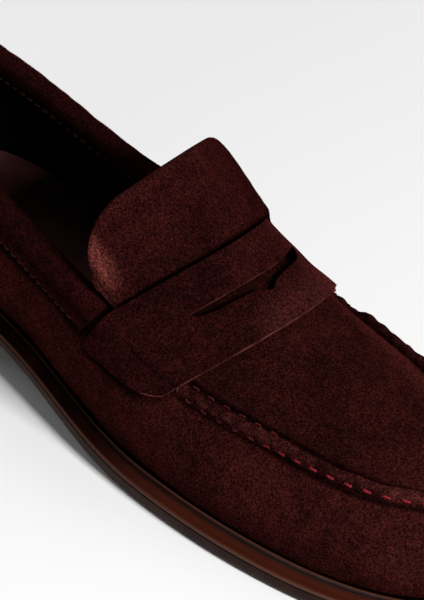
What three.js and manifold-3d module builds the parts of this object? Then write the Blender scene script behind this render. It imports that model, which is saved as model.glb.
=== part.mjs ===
// A right-foot penny loafer, built as the pieces a shoemaker would lay out on a bench.
// Millimetres. +X runs towards the toe, +Y towards the inner side of the foot, +Z up.
// Shapes are written with x counted from the back of the heel; the exported group is then moved
// so that the origin lies on the ground under the middle of the heel.
import * as THREE from "three";
import { mergeVertices } from "three/addons/utils/BufferGeometryUtils.js";
import Module from "manifold-3d";

const wasm = await Module();
wasm.setup();

// ---- Driving dimensions ----
const HEEL_CENTRE = 36; // x of the middle of the heel, which becomes the origin
const HEEL_LIFT = 14; // height of the outsole's underside above the ground at the heel
const TOE_SPRING = 7.5; // height of the outsole's underside at the tip of the toe
const TREAD_BACK = 165; // the outsole lies flat on the ground from here ...
const TREAD_FRONT = 225; // ... to here
const SHANK_TOP = 60; // the outsole has risen to the full heel lift here
const SOLE_THICK = 13; // outsole and welt together, under the ball of the foot
const WAIST_THIN = 2.5; // how much thinner they are at the waist and heel
const FEATHER_INSET = 5.8; // the upper stands this far in from the edge of the sole
const FEATHER_LEVEL = 11.2 / 13; // share of the sole thickness where the upper starts
const HEEL_BREAST = 72; // x of the front face of the heel
const GAP = 0.3; // clearance between neighbouring pieces
const UPPER_THICK = 1.6; // suede
const LINING_THICK = 0.9; // calf lining
const STIFFENER_THICK = 1.0; // heel counter and toe puff
const SECTION_TILT = 0.6; // the instep falls 0.6 mm per mm, and the strap stands square to it
const ARCH_POWER = 2.3; // roundness of the instep from side to side
const STRAP_BACK = 153; // x where the saddle strap's rear edge crosses the crest of the instep
const STRAP_FRONT = 183; // x where its front edge crosses the crest
const STRAP_SWEEP = 4; // how far its edges sweep back at the sides
const TAB_REAR = 0.35; // share of the wall's height that a strap tab covers along its rear edge
const TAB_FRONT = 0.24; // and along its front edge
const SLOT_REAR = 165.2; // x where the rear edge of the keeper slot crosses the crest
const TONGUE_TIP = 124; // x of the top edge of the tongue, on the crest
const TONGUE_HALF = 37; // half the width of the tongue
const OUTER_CORNER = 17; // radius of the tongue's outer top corner
const INNER_CORNER = 13; // and of its inner top corner
const TONGUE_SWING = 17; // fall of the tongue from its crest to its side edges

// Stations round the shoe, from the back of the heel along the outer side to the toe and home along
// the inner side: [edge of the sole x, y, rim of the upper x, y, z]. The rim is the topline behind
// the strap and the apron seam in front of it.
const STATIONS = [
  [0, 0, 6, 0, 80],
  [9, -22, 13, -16.5, 78],
  [33, -35, 34, -27, 73.5],
  [66, -37.5, 66, -30.5, 67.5],
  [103, -41, 101, -34.5, 61],
  [140, -48.5, 133, -38.5, 57.5],
  [178, -52, 169, -37.6, 45.5],
  [214, -50.5, 205, -32.9, 42.3],
  [250, -43.5, 236, -28.3, 42],
  [281, -28, 259, -14.5, 40.5],
  [297.5, 1, 268, 3, 39],
  [284, 29, 260, 17.5, 40],
  [252, 44, 237, 26.8, 42],
  [214, 50.5, 205, 33.8, 42.3],
  [178, 48, 169, 36.4, 45.2],
  [140, 41, 133, 34.2, 56.2],
  [103, 35.5, 101, 28.8, 58.8],
  [66, 35, 66, 25, 65.7],
  [33, 33.5, 34, 22.6, 72.8],
  [9, 21, 13, 15, 78],
];
// Crest of the instep from the top of the tongue to the front of the apron: [x, z].
const CREST = [
  [124, 92.5],
  [153, 74.5],
  [183, 60],
  [212, 53.4],
  [250, 46],
  [268, 39.3],
];

// ---- Curves and surfaces ----
const clamp01 = (x) => Math.min(1, Math.max(0, x));
const smooth = (x) => clamp01(x) ** 2 * (3 - 2 * clamp01(x));
const mix = (a, b, t) => a + (b - a) * t;
const range = (n, from = 0, to = 1) => Array.from({ length: n + 1 }, (_, i) => mix(from, to, i / n));

const soleEdge = new THREE.CatmullRomCurve3(
  STATIONS.map(([x, y]) => new THREE.Vector3(x, y, 0)), true, "catmullrom", 0.5);
const rimCurve = new THREE.CatmullRomCurve3(
  STATIONS.map(([, , x, y, z]) => new THREE.Vector3(x, y, z)), true, "catmullrom", 0.5);
const turn = (s) => ((s % 1) + 1) % 1;
const rim = (s) => rimCurve.getPoint(turn(s));

// A smooth height through a list of [x, z].
function through(points, x) {
  let i = 0;
  while (i < points.length - 2 && x > points[i + 1][0]) i++;
  const slope = (k) => {
    const a = points[Math.max(k - 1, 0)];
    const b = points[Math.min(k + 1, points.length - 1)];
    return (b[1] - a[1]) / (b[0] - a[0]);
  };
  const [x0, z0] = points[i];
  const [x1, z1] = points[i + 1];
  const w = x1 - x0;
  const t = (x - x0) / w;
  return z0 * (2 * t ** 3 - 3 * t ** 2 + 1) + slope(i) * w * (t ** 3 - 2 * t ** 2 + t)
    + z1 * (3 * t ** 2 - 2 * t ** 3) + slope(i + 1) * w * (t ** 3 - t ** 2);
}
const crest = (x) => through(CREST, x);

// The underside of the outsole rises to the heel behind the tread and curls up in front of it.
const heelShare = (x) => smooth((TREAD_BACK - x) / (TREAD_BACK - SHANK_TOP));
const underside = (x) => HEEL_LIFT * heelShare(x)
  + TOE_SPRING * Math.max(0, (x - TREAD_FRONT) / (298 - TREAD_FRONT)) ** 2;
const soleThick = (x) => SOLE_THICK - WAIST_THIN * heelShare(x);

// A point on a level of the sole: in from its edge by inset, and up by level of its thickness.
function solePoint(s, inset, level) {
  const p = soleEdge.getPoint(turn(s));
  const along = soleEdge.getPoint(turn(s + 0.002)).sub(soleEdge.getPoint(turn(s - 0.002))).normalize();
  p.x -= along.y * inset;
  p.y += along.x * inset;
  p.z = underside(p.x) + soleThick(p.x) * level;
  return p;
}

// The side of the upper: t runs from the feather edge (0) to the rim (1).
function wall(s, t) {
  const foot = solePoint(s, FEATHER_INSET, FEATHER_LEVEL);
  const top = rim(s);
  const edge = soleEdge.getPoint(turn(s));
  const out = new THREE.Vector3(edge.x - foot.x, edge.y - foot.y, 0).normalize();
  const reach = foot.distanceTo(top);
  const flare = THREE.MathUtils.degToRad(14);
  const lean = THREE.MathUtils.degToRad(mix(10, 62, smooth((top.x - 95) / 110)));
  const start = out.clone().multiplyScalar(Math.sin(flare)).setZ(Math.cos(flare)).multiplyScalar(reach * 1.1);
  const end = out.clone().multiplyScalar(-Math.sin(lean)).setZ(Math.cos(lean)).multiplyScalar(reach * 1.1);
  return foot.multiplyScalar(2 * t ** 3 - 3 * t ** 2 + 1)
    .addScaledVector(start, t ** 3 - 2 * t ** 2 + t)
    .addScaledVector(top, 3 * t ** 2 - 2 * t ** 3)
    .addScaledVector(end, t ** 3 - t ** 2);
}

// The place round the shoe where the wall, at height t, meets the tilted section through crest x.
function sectionMeets(x, side, t = 1) {
  const tilt = SECTION_TILT * (1 - smooth((x - 175) / 70));
  const ahead = (s) => {
    const p = t === 1 ? rim(s) : wall(s, t);
    return p.x - tilt * (p.z - crest(x)) - x;
  };
  let [near, far] = side < 0 ? [0.12, 0.5] : [0.88, 0.5];
  for (let i = 0; i < 40; i++) {
    const middle = (near + far) / 2;
    if (ahead(middle) > 0) far = middle;
    else near = middle;
  }
  return (near + far) / 2;
}

// The top of the foot: v runs from the outer rim (-1) over the crest (0) to the inner rim (1).
function arch(x, v) {
  const side = rim(sectionMeets(x, v < 0 ? -1 : 1));
  const middle = new THREE.Vector3(x, 1.5, crest(x));
  const rise = 1 - Math.abs(v) ** ARCH_POWER;
  return new THREE.Vector3(
    mix(side.x, middle.x, rise), mix(middle.y, side.y, Math.abs(v)), mix(side.z, middle.z, rise));
}

// ---- Solids from grids ----
// A closed solid from its corners and triangles, turned so that its faces point outwards.
function solidGeometry(vertices, triangles) {
  let volume = 0;
  for (let i = 0; i < triangles.length; i += 3) {
    const [a, b, c] = triangles.slice(i, i + 3).map((k) => vertices[k]);
    volume += a.dot(b.clone().cross(c));
  }
  const g = new THREE.BufferGeometry();
  g.setAttribute("position", new THREE.Float32BufferAttribute(vertices.flatMap((p) => [p.x, p.y, p.z]), 3));
  g.setIndex(volume < 0 ? triangles.slice().reverse() : triangles);
  return g;
}

function gridNormals(grid) {
  const rows = grid.length;
  const columns = grid[0].length;
  return grid.map((row, i) => row.map((_, j) => {
    const down = grid[Math.min(i + 1, rows - 1)][j].clone().sub(grid[Math.max(i - 1, 0)][j]);
    const across = row[Math.min(j + 1, columns - 1)].clone().sub(row[Math.max(j - 1, 0)]);
    return down.cross(across).normalize();
  }));
}

// A sheet of leather: a grid of points, thickened along its normals from low to high.
function sheet(grid, low, high) {
  const normals = gridNormals(grid);
  const rows = grid.length;
  const columns = grid[0].length;
  const skin = (d) => grid.flatMap((row, i) => row.map((p, j) => p.clone().addScaledVector(normals[i][j], d)));
  const vertices = [...skin(high), ...skin(low)];
  const top = (i, j) => i * columns + j;
  const bottom = (i, j) => rows * columns + top(i, j);
  const triangles = [];
  const quad = (a, b, c, d) => triangles.push(a, b, c, a, c, d);
  for (let i = 0; i < rows - 1; i++)
    for (let j = 0; j < columns - 1; j++) {
      quad(top(i, j), top(i + 1, j), top(i + 1, j + 1), top(i, j + 1));
      quad(bottom(i, j), bottom(i, j + 1), bottom(i + 1, j + 1), bottom(i + 1, j));
    }
  for (let i = 0; i < rows - 1; i++) {
    quad(top(i, 0), bottom(i, 0), bottom(i + 1, 0), top(i + 1, 0));
    quad(top(i, columns - 1), top(i + 1, columns - 1), bottom(i + 1, columns - 1), bottom(i, columns - 1));
  }
  for (let j = 0; j < columns - 1; j++) {
    quad(top(0, j), top(0, j + 1), bottom(0, j + 1), bottom(0, j));
    quad(top(rows - 1, j), bottom(rows - 1, j), bottom(rows - 1, j + 1), top(rows - 1, j + 1));
  }
  return solidGeometry(vertices, triangles);
}

// A slab: rings of points from its underside to its top, each capped by strips from side to side.
function slab(rings) {
  const n = rings[0].length;
  const vertices = rings.flat();
  const triangles = [];
  for (let r = 0; r < rings.length - 1; r++)
    for (let i = 0; i < n; i++) {
      const j = (i + 1) % n;
      const a = r * n + i;
      const b = r * n + j;
      triangles.push(a, b + n, b, a, a + n, b + n);
    }
  const cap = (offset, up) => {
    for (let i = 0; i < n / 2 - 1; i++) {
      const [a, b, c, d] = [i, i + 1, n - 2 - i, n - 1 - i].map((k) => offset + k);
      const pair = up ? [a, c, b, a, d, c] : [a, b, c, a, c, d];
      triangles.push(...(b === c ? pair.slice(up ? 3 : 0, up ? 6 : 3) : pair));
    }
  };
  cap(0, false);
  cap((rings.length - 1) * n, true);
  return solidGeometry(vertices, triangles);
}

// Places round the shoe for a slab, starting and ending either side of the back of the heel.
const ROUND = 52;
const around = range(ROUND - 1, 0.5 / ROUND, 1 - 0.5 / ROUND);
const soleRing = (inset, level, lift = 0) => around.map((s) => {
  const p = solePoint(s, inset, level);
  p.z += typeof lift === "function" ? lift(p.x) : lift;
  return p;
});

// A profile carried along a list of frames; each frame turns a profile point into space. The run
// is closed into a ring, or its ends are capped where flat gives the profile's outline.
function sweep(frames, profile, closed = false, flat = ([x, y]) => [x, y]) {
  const n = profile.length;
  const vertices = frames.flatMap((place) => profile.map((q) => place(q)));
  const triangles = [];
  const last = closed ? frames.length : frames.length - 1;
  for (let f = 0; f < last; f++)
    for (let i = 0; i < n; i++) {
      const a = f * n + i;
      const b = f * n + ((i + 1) % n);
      const c = ((f + 1) % frames.length) * n + ((i + 1) % n);
      const d = ((f + 1) % frames.length) * n + i;
      triangles.push(a, b, c, a, c, d);
    }
  if (!closed) {
    const end = (frames.length - 1) * n;
    const outline = profile.map((q) => new THREE.Vector2(...flat(q)));
    for (const [a, b, c] of THREE.ShapeUtils.triangulateShape(outline, []))
      triangles.push(a, c, b, end + a, end + b, end + c);
  }
  return solidGeometry(vertices, triangles);
}

// A thread: a thin round cord through a list of points.
function thread(points, radius) {
  const shape = new THREE.Shape(range(5).slice(0, 5).map((a) =>
    new THREE.Vector2(radius * Math.cos(a * 2 * Math.PI), radius * Math.sin(a * 2 * Math.PI))));
  return new THREE.ExtrudeGeometry(shape, {
    steps: points.length * 2, bevelEnabled: false, extrudePath: new THREE.CatmullRomCurve3(points),
  });
}

function toManifold(geometry) {
  const bare = new THREE.BufferGeometry().setAttribute("position", geometry.getAttribute("position"));
  if (geometry.index) bare.setIndex(geometry.index);
  const merged = mergeVertices(bare, 1e-4);
  return new wasm.Manifold(new wasm.Mesh({
    numProp: 3,
    vertProperties: merged.attributes.position.array,
    triVerts: new Uint32Array(merged.index.array),
  }));
}

function cut(geometry, ...tools) {
  const solid = tools.reduce((body, tool) => body.subtract(toManifold(tool)), toManifold(geometry));
  const mesh = solid.getMesh();
  const g = new THREE.BufferGeometry();
  g.setAttribute("position", new THREE.BufferAttribute(new Float32Array(mesh.vertProperties), 3));
  g.setIndex(new THREE.BufferAttribute(new Uint32Array(mesh.triVerts), 1));
  return g;
}

// ---- Materials ----
const SUEDE = new THREE.MeshStandardMaterial({ color: 0x2c100e, roughness: 0.95, metalness: 0 });
const LINING = new THREE.MeshStandardMaterial({ color: 0x1d1311, roughness: 0.6, metalness: 0 });
const RUBBER = new THREE.MeshStandardMaterial({ color: 0x2a150c, roughness: 0.35, metalness: 0 });
const WELT = new THREE.MeshStandardMaterial({ color: 0x35190c, roughness: 0.3, metalness: 0 });
const THREAD = new THREE.MeshStandardMaterial({ color: 0x8c1a1e, roughness: 0.5, metalness: 0 });
const TONAL_THREAD = new THREE.MeshStandardMaterial({ color: 0x3c1416, roughness: 0.6, metalness: 0 });
const CORK = new THREE.MeshStandardMaterial({ color: 0x9a7048, roughness: 0.9, metalness: 0 });
const BOARD = new THREE.MeshStandardMaterial({ color: 0xb09a78, roughness: 0.9, metalness: 0 });
const FOAM = new THREE.MeshStandardMaterial({ color: 0xd8d2c0, roughness: 0.9, metalness: 0 });
const STEEL = new THREE.MeshStandardMaterial({ color: 0x9a9c9e, roughness: 0.35, metalness: 1 });
const STIFFENER = new THREE.MeshStandardMaterial({ color: 0x8c7a66, roughness: 0.9, metalness: 0 });

const shoe = new THREE.Group();
function add(name, geometry, material) {
  const mesh = new THREE.Mesh(geometry, material);
  mesh.name = name;
  shoe.add(mesh);
}

// ---- Sole unit ----
function outsole() {
  return slab([
    soleRing(1.8, 0), soleRing(0.4, 0, 1.3), soleRing(0, 0, 3.2), soleRing(0, 0.4), soleRing(0.7, 0.43),
  ]);
}

// The welt is a ring whose shoulder slopes up and in from its ridge to a small lip round the upper.
function welt() {
  const profile = [[0.6, 0.455], [0, 0.52], [1.5, 0.69], [3.6, 0.81], [4.9, 0.845], [5.6, 0.81], [11, 0.81], [11, 0.455]];
  const frames = around.map((s) => ([inset, level]) => solePoint(s, inset, level));
  return sweep(frames, profile, true);
}

// The steel shank stiffens the waist; grow and headroom widen it into the slot it lies in.
const SHANK = { x: 96, length: 96, width: 14, thick: 1.3 };
function shank(grow = 0, headroom = 0) {
  const half = SHANK.width / 2 + grow;
  const corners = [[-half, -SHANK.thick - grow], [half, -SHANK.thick - grow], [half, headroom], [-half, headroom]];
  const reach = SHANK.length / 2 + grow;
  const frames = range(12, SHANK.x - reach, SHANK.x + reach).map((x) => ([y, z]) =>
    new THREE.Vector3(x, y, underside(x) + soleThick(x) * 0.81 - GAP + z));
  return sweep(frames, corners);
}

const corkFiller = () => cut(slab([soleRing(11.3, 0.455), soleRing(11.3, 0.81)]), shank(GAP, 2));

const insoleBoard = () => slab([soleRing(11, 0.81, GAP), soleRing(11, 0.81, GAP + 1.8)]);
const foamTop = (x) => GAP + 1.8 + GAP + 1.2 + 1.8 * heelShare(x);
const footbed = () => slab([soleRing(11, 0.81, 2 * GAP + 1.8), soleRing(11.4, 0.81, foamTop)]);
const sockLiner = () => slab([
  soleRing(10.9, 0.81, (x) => foamTop(x) + GAP), soleRing(10.9, 0.81, (x) => foamTop(x) + GAP + 0.9)]);

// The heel follows the sole's edge and ends at a straight breast.
function heelRing(inset, height) {
  const breast = (side) => {
    let [back, front] = side < 0 ? [0, 0.3] : [1, 0.7];
    for (let i = 0; i < 30; i++) {
      const middle = (back + front) / 2;
      if (solePoint(middle, inset, 0).x > HEEL_BREAST - inset) front = middle;
      else back = middle;
    }
    return back;
  };
  const [outer, inner] = [breast(-1), breast(1)];
  const half = 12;
  const places = [...range(half, 0.004, outer).reverse(), ...range(half, 0.996, inner)];
  return places.map((s) => {
    const p = solePoint(s, inset, 0);
    p.z = typeof height === "function" ? height(p.x) : height;
    return p;
  }).reverse();
}

const heelBlock = () => slab([heelRing(1.4, 6.3), heelRing(1.0, (x) => underside(x) - GAP)]);
const heelTopPiece = () => slab([heelRing(2.2, 0), heelRing(1.4, 0.9), heelRing(1.4, 6)]);

// ---- Upper ----
// Layers of the upper share their grid lines, so that they stay evenly apart.
function shared(from, to, step) {
  const first = Math.ceil(from / step + 0.3);
  const last = Math.floor(to / step - 0.3);
  const lines = Array.from({ length: last - first + 1 }, (_, i) => (first + i) * step);
  return [from, ...lines, to];
}

// A sheet on the wall between two places round the shoe and two heights.
function wallSheet(from, to, low, high, inner, outer) {
  const heights = shared(low, high, 1 / 5).reverse();
  const places = shared(from, to, 1 / 60);
  return sheet(heights.map((t) => places.map((s) => wall(s, t))), inner, outer);
}

// A sheet on the instep over a list of crest stations, short of the rim by a margin.
function archSheet(stations, margin, inner, outer) {
  const grid = stations.map((x) => {
    const half = arch(x, -1).distanceTo(arch(x, 1)) / 2;
    const across = range(14, -1, 1).map((v) => Math.sin(v * Math.PI / 2));
    return across.map((v) => arch(x, v * (1 - margin / half)));
  });
  return sheet(grid, inner, outer);
}

// Stations of the apron and its lining, closer together towards the round front.
const APRON_FRONT = 266.5;
const apronRows = range(16).map((i) => mix(APRON_FRONT, STRAP_BACK + 2, (1 - i) ** 1.8));
const apron = () => archSheet(apronRows, 0.7, -UPPER_THICK, 0);
const apronLining = () => archSheet(
  apronRows.filter((x) => x < APRON_FRONT - 7), 5, -UPPER_THICK - GAP - LINING_THICK, -UPPER_THICK - GAP);

// The raised seam where apron and side wall are pinched together and sewn.
const SEAM_START = 0.307;
const SEAM_END = 0.695;
function seamFrame(s) {
  const { p, normal } = wallFrame(s, 1);
  const along = rim(s + 0.002).sub(rim(s - 0.002)).normalize();
  return { p, across: along.cross(normal).normalize(), up: normal };
}
function seamRidge() {
  const profile = [[-2.1, 0.6], [2.1, 0.6], [1.9, 1.9], [0.9, 2.7], [-0.9, 2.7], [-1.9, 1.9]];
  const frames = range(40, SEAM_START, SEAM_END).map((s) => {
    const { p, across, up } = seamFrame(s);
    return ([x, z]) => p.clone().addScaledVector(across, x).addScaledVector(up, z);
  });
  return sweep(frames, profile);
}
const seamThread = (side) => thread(range(30, SEAM_START + 0.004, SEAM_END - 0.004).map((s) => {
  const { p, across, up } = seamFrame(s);
  return p.clone().addScaledVector(across, side * 2.9).addScaledVector(up, 1.5);
}), 0.4);

// The collar binding folds over the topline from outside to inside. Its ends lean back, in line
// with the rear edge of the strap.
const COLLAR_END = STRAP_BACK - STRAP_SWEEP - 2.6;
const collarEnd = (side, t) => sectionMeets(COLLAR_END, side, t) - (side > 0 ? 1 : 0);
const COLLAR_STEPS = 30;

function wallFrame(s, t) {
  const p = wall(s, t);
  const along = wall(s + 0.004, t).sub(wall(s - 0.004, t));
  const step = wall(s, Math.min(t + 0.02, 1)).sub(wall(s, Math.min(t + 0.02, 1) - 0.02)).normalize();
  return { p, normal: along.cross(step).normalize(), up: step };
}
// A place on the wall's frame: off the surface by d, and h above the rim or, below it, at height t.
function onWall(s, d, t, h = 0) {
  const { p, normal, up } = wallFrame(s, t);
  return p.addScaledVector(normal, d).addScaledVector(up, h);
}
const LINING_FACE = -(UPPER_THICK + GAP + STIFFENER_THICK + GAP + LINING_THICK);
function collarBinding() {
  const inside = LINING_FACE - 2 * GAP;
  const profile = [
    [GAP, 0.76, 0], [1.4, 0.76, 0], [1.6, 0.9, 0], [1.3, 1, 0.3], [0.2, 1, 1.1], [-1.8, 1, 1.5],
    [inside + 0.6, 1, 1.1], [inside - 1, 1, 0.1], [inside - 1.1, 0.87, 0], [inside, 0.87, 0],
    [inside, 1, 0], [inside + 0.3, 1, GAP], [0, 1, GAP], [GAP, 1, 0], [GAP + 0.15, 0.92, 0],
  ];
  const ends = new Map(profile.map(([, t]) => [t, [collarEnd(1, t), collarEnd(-1, t)]]));
  const frames = range(COLLAR_STEPS).map((share) =>
    ([d, t, h]) => onWall(mix(...ends.get(t), share), d, t, h));
  return sweep(frames, profile, false, ([d, t, h]) => [d, (t - 1) * 50 + h]);
}
const collarThread = () => thread(range(26, collarEnd(1, 0.8) + 0.01, collarEnd(-1, 0.8) - 0.01).map((s) =>
  onWall(s, 2.1, 0.8)), 0.3);

const sideWall = () => wallSheet(0.0008, 0.9992, 0.006, 0.99, -UPPER_THICK, 0);
const heelPatch = () => wallSheet(-0.02, 0.02, 0.04, 0.73, GAP + 0.2, GAP + 1.4);
const counterInner = -(UPPER_THICK + GAP + STIFFENER_THICK);
const heelCounter = () => wallSheet(-0.14, 0.14, 0.02, 0.68, counterInner, -(UPPER_THICK + GAP));
const toePuff = () => wallSheet(0.4, 0.6, 0.03, 0.8, counterInner, -(UPPER_THICK + GAP));
const collarPadding = () =>
  wallSheet(-0.235, 0.235, 0.71, 0.975, counterInner, -(UPPER_THICK + GAP));
const liningInner = counterInner - GAP - LINING_THICK;
const quarterLining = () => wallSheet(-0.262, 0.262, 0.01, 0.985, liningInner, counterInner - GAP);
const vampLining = () => wallSheet(0.264, 0.736, 0.01, 0.87, liningInner, counterInner - GAP);

// ---- Tongue ----
// q runs from the tongue's top edge (0) to its root under the strap's rear edge (1).
function tonguePoint(q, v) {
  const half = mix(TONGUE_HALF, 31.5, smooth((q - 0.25) / 0.75));
  const length = 34;
  const corner = v < 0 ? OUTER_CORNER : INNER_CORNER;
  const past = Math.max(0, Math.abs(v) * half - (half - corner));
  const rounded = (corner - Math.sqrt(Math.max(0, corner ** 2 - past ** 2))) / length;
  const along = rounded + (1 - rounded) * q;
  const x = mix(TONGUE_TIP, STRAP_BACK - 1.2, along);
  const drop = TONGUE_SWING * Math.abs(v * half / TONGUE_HALF) ** 2.2;
  return new THREE.Vector3(x - 0.72 * drop - 2 * q * v * v, 1.5 + v * half, crest(x) - 0.4 - drop);
}
function tongueSheet(margin, inner, outer) {
  const side = 1 - margin / TONGUE_HALF;
  const across = range(16, -1, 1).map((v) => Math.sin(v * Math.PI / 2) * side);
  return sheet(range(7, margin / 34, 1).map((q) => across.map((v) => tonguePoint(q, v))), inner, outer);
}

// ---- Saddle strap ----
// w runs from the outer tab's end (-2) over the instep to the inner tab's end (2); beyond the rim
// at -1 and 1 the strap comes down the wall.
function strapBase(u, w) {
  const down = Math.max(0, Math.abs(w) - 1);
  const sweepBack = STRAP_SWEEP * Math.min(w * w, 1) - 1.8 * down * (1 - u);
  const x = mix(STRAP_BACK, STRAP_FRONT, u) - sweepBack;
  if (down === 0) return arch(x, w);
  const t = 1 - down * mix(TAB_REAR, TAB_FRONT, u);
  return wall(sectionMeets(x, Math.sign(w), t), t);
}
function slotTool() {
  // The keeper slot: almost straight behind, two shallow lips and a point in front.
  const half = [[1.9, 6.4], [3.6, 4.9], [6.5, 4], [11.5, 3.4], [19, 2.4], [23, 1], [26, -1.9], [15, -0.6]];
  const mirrored = half.map(([y, a]) => [-y, a]).reverse();
  const shape = new THREE.Shape([[0, 7], ...half, [0, 0], ...mirrored].map(([y, a]) => new THREE.Vector2(a, y)));
  const g = new THREE.ExtrudeGeometry(shape, { depth: 40, bevelEnabled: false });
  return g.translate(0, 0, -20).rotateY(Math.atan(SECTION_TILT)).translate(SLOT_REAR, 1.5, crest(SLOT_REAR));
}
function saddleStrap() {
  const across = [...range(5, -2, -1), ...range(26, -1, 1).slice(1), ...range(5, 1, 2).slice(1)];
  const grid = range(5).map((u) => across.map((w) => strapBase(u, w)));
  return cut(sheet(grid, 0.7, 2.3), slotTool());
}
const strapThread = (side) => thread(range(10, 0.1, 0.9).map((u) => {
  const here = strapBase(u, side * 1.2);
  const lower = strapBase(u, side * 1.3).sub(here);
  const along = strapBase(Math.min(u + 0.02, 1), side * 1.2).sub(strapBase(u - 0.02, side * 1.2));
  const normal = along.cross(lower).multiplyScalar(side).normalize();
  return here.addScaledVector(normal, 3.1);
}), 0.3);

add("outsole", outsole(), RUBBER);
add("welt", welt(), WELT);
add("heel_block", heelBlock(), RUBBER);
add("heel_top_piece", heelTopPiece(), RUBBER);
add("cork_filler", corkFiller(), CORK);
add("shank", shank(), STEEL);
add("insole_board", insoleBoard(), BOARD);
add("footbed_foam", footbed(), FOAM);
add("sock_liner", sockLiner(), LINING);
add("side_wall", sideWall(), SUEDE);
add("apron", apron(), SUEDE);
add("seam_ridge", seamRidge(), SUEDE);
add("saddle_strap", saddleStrap(), SUEDE);
add("collar_binding", collarBinding(), SUEDE);
add("heel_patch", heelPatch(), SUEDE);
add("tongue", tongueSheet(0, -UPPER_THICK, 0), SUEDE);
add("tongue_lining", tongueSheet(1.2, -UPPER_THICK - GAP - LINING_THICK, -UPPER_THICK - GAP), LINING);
add("apron_lining", apronLining(), LINING);
add("vamp_lining", vampLining(), LINING);
add("quarter_lining", quarterLining(), LINING);
add("collar_padding", collarPadding(), FOAM);
add("heel_counter", heelCounter(), STIFFENER);
add("toe_puff", toePuff(), STIFFENER);
add("seam_thread_outer", seamThread(1), THREAD);
add("seam_thread_inner", seamThread(-1), THREAD);
add("collar_thread", collarThread(), TONAL_THREAD);
add("strap_thread_outer", strapThread(-1), TONAL_THREAD);
add("strap_thread_inner", strapThread(1), TONAL_THREAD);
shoe.position.x = -HEEL_CENTRE;

export default shoe;
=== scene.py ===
"""A burgundy suede penny loafer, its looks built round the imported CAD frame.

Shapes are worked out in millimetres with x counted from the back of the heel, like the CAD,
and move to the row frame, in metres, when a mesh is made.
"""

import math

import bmesh
import bpy
import numpy as np
from mathutils import Matrix, Vector


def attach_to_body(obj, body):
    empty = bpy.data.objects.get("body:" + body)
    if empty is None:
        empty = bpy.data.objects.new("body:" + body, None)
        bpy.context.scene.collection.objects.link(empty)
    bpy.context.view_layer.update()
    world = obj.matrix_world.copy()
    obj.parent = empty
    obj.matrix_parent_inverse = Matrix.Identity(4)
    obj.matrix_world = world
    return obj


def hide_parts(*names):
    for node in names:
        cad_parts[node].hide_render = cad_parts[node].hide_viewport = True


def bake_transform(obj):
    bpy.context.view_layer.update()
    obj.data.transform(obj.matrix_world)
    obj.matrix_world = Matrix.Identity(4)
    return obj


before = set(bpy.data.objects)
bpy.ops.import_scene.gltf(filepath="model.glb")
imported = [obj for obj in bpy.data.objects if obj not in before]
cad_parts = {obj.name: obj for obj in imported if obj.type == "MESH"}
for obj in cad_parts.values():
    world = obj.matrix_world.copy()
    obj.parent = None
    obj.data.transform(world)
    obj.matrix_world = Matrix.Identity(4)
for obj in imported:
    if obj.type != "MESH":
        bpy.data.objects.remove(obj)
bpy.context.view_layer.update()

# ---- Driving dimensions, in millimetres ----
HEEL_CENTRE = 36
HEEL_LIFT = 14
TOE_SPRING = 7.5
TREAD_BACK = 165
TREAD_FRONT = 225
SHANK_TOP = 60
SOLE_THICK = 13
WAIST_THIN = 2.5
FEATHER_INSET = 5.8
FEATHER_LEVEL = 11.2 / 13
HEEL_BREAST = 72
TOE_END = 298
UPPER_THICK = 1.6
LINING_THICK = 0.9
LINING_DEPTH = 3.2  # from the outside of the wall to the lining
SECTION_TILT = 0.6
ARCH_POWER = 2.3
CREST_Y = 1.5  # the crest of the instep lies a little to the inner side
STRAP_BACK = 153
STRAP_FRONT = 183
STRAP_SWEEP = 4
STRAP_THICK = 1.9
TAB_REAR = 0.35  # share of the wall's height that a strap tab covers along its rear edge
TAB_FRONT = 0.24  # and along its front edge
SEWN_LINE = 0.045  # share of the wall's height from the rim down to the strap's stitches
SLOT_REAR = 0.405  # share of the strap's width behind the keeper slot
TONGUE_TIP = 124
TONGUE_LENGTH = 34
TONGUE_HALF = 38
TONGUE_SWING = 17  # how far the tongue's sides drop below its middle
OUTER_CORNER = 17
INNER_CORNER = 13
STITCH_PITCH = 6.3
COLLAR_PITCH = 3.6
APRON_TOE = 267.6
COLLAR_END = STRAP_BACK - STRAP_SWEEP - 2.0
SEAM_START = 0.292  # shares of the way round the rim, outer side first
SEAM_END = 0.708
HEEL_SIDE = 0.3  # share of the way round that holds one side of the heel

# Round the shoe from the back of the heel, outer side first:
# edge of the sole x, y, then rim of the upper x, y, z.
STATIONS = [
    (0, 0, 6, 0, 80),
    (9, -22, 13, -16.5, 78),
    (33, -35, 34, -27, 73.5),
    (66, -37.5, 66, -30.5, 67.5),
    (103, -41, 101, -34.5, 61),
    (140, -48.5, 133, -38.5, 57.5),
    (178, -52, 169, -37.6, 45.5),
    (214, -50.5, 205, -32.9, 42.3),
    (250, -43.5, 236, -28.3, 42),
    (281, -28, 259, -14.5, 40.5),
    (297.5, 1, 268, 3, 39),
    (284, 29, 260, 17.5, 40),
    (252, 44, 237, 26.8, 42),
    (214, 50.5, 205, 33.8, 42.3),
    (178, 48, 169, 36.4, 45.2),
    (140, 41, 133, 34.2, 56.2),
    (103, 35.5, 101, 28.8, 58.8),
    (66, 35, 66, 25, 65.7),
    (33, 33.5, 34, 22.6, 72.8),
    (9, 21, 13, 15, 78),
]
CREST = [(124, 92.5), (153, 74.5), (183, 60), (212, 53.4), (250, 46), (268, 39.3)]


# ---- Curves and surfaces ----
def smooth(x):
    x = np.clip(x, 0, 1)
    return x * x * (3 - 2 * x)


def mix(a, b, t):
    return a + (b - a) * t


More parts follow.
